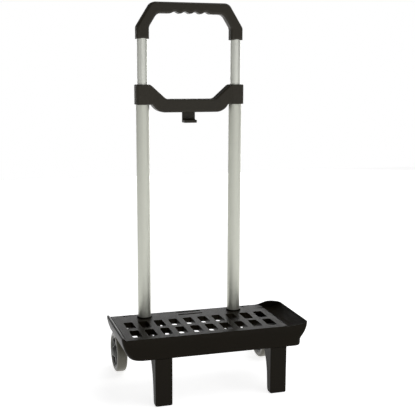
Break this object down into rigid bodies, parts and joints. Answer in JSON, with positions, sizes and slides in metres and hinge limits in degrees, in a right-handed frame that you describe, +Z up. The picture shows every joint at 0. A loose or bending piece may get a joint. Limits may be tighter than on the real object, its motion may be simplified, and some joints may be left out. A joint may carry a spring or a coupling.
{
  "type": "folding platform cart",
  "caption": "Light platform trolley: slotted moulded platform on front legs and rear wheels, with a telescopic two-tube pull handle, crossbar and bag hook.",
  "frame": {"origin": "middle of the footprint, on the floor, handle as it stands in the rest pose", "axes": "+Z up along the tubes, +X along the platform's width, -Y towards the front edge and the legs, +Y towards the wheels"},
  "size_m": [0.318, 0.22, 0.648],
  "materials": {
    "platform_plastic": "black moulded polypropylene, fine-textured on the deck, smoother on the walls",
    "fitting_plastic": "black moulded, smooth",
    "grip_plastic": "black moulded, satin",
    "tyre_plastic": "smoke-grey moulded tyre, satin",
    "hub_plastic": "grey moulded",
    "bush_plastic": "natural nylon",
    "lower_tube_aluminium": "satin silver anodised",
    "upper_tube_aluminium": "satin silver anodised",
    "steel_parts": "zinc plated"
  },
  "bodies": {
    "cart": {"platform_tray": "platform_plastic", "leg_left": "platform_plastic", "leg_right": "platform_plastic", "leg_bolts": "steel_parts", "tube_socket_left": "fitting_plastic", "tube_socket_right": "fitting_plastic", "socket_pins": "steel_parts", "axle_bracket_left": "platform_plastic", "axle_bracket_right": "platform_plastic", "bracket_screws": "steel_parts", "axle": "steel_parts", "axle_washers": "steel_parts", "axle_caps": "hub_plastic", "lower_tube_left": "lower_tube_aluminium", "lower_tube_right": "lower_tube_aluminium", "guide_sleeve_left": "fitting_plastic", "guide_sleeve_right": "fitting_plastic", "crossbar_front_shell": "grip_plastic", "crossbar_rear_shell": "grip_plastic", "crossbar_screws": "steel_parts", "bag_hook": "grip_plastic"},
    "handle": {"upper_tube_left": "upper_tube_aluminium", "upper_tube_right": "upper_tube_aluminium", "slider_left": "fitting_plastic", "slider_right": "fitting_plastic", "detent_balls": "steel_parts", "detent_springs": "steel_parts", "handle_front_shell": "grip_plastic", "handle_rear_shell": "grip_plastic", "handle_screws": "steel_parts"},
    "wheel_left": {"tyre_left": "tyre_plastic", "wheel_hub_left": "hub_plastic", "wheel_bush_left": "bush_plastic"},
    "wheel_right": {"tyre_right": "tyre_plastic", "wheel_hub_right": "hub_plastic", "wheel_bush_right": "bush_plastic"}
  },
  "joints": [
    {"name": "handle_slide", "type": "slide", "parent": "cart", "child": "handle", "axis": [0, 0, 1], "range_m": [-0.0735, 0.26]},
    {"name": "wheel_left_spin", "type": "hinge", "parent": "cart", "child": "wheel_left", "pos_m": [-0.1293, 0.0735, 0.0365], "axis": [1, 0, 0], "continuous": true},
    {"name": "wheel_right_spin", "type": "hinge", "parent": "cart", "child": "wheel_right", "pos_m": [0.1451, 0.0735, 0.0365], "axis": [1, 0, 0], "continuous": true}
  ]
}
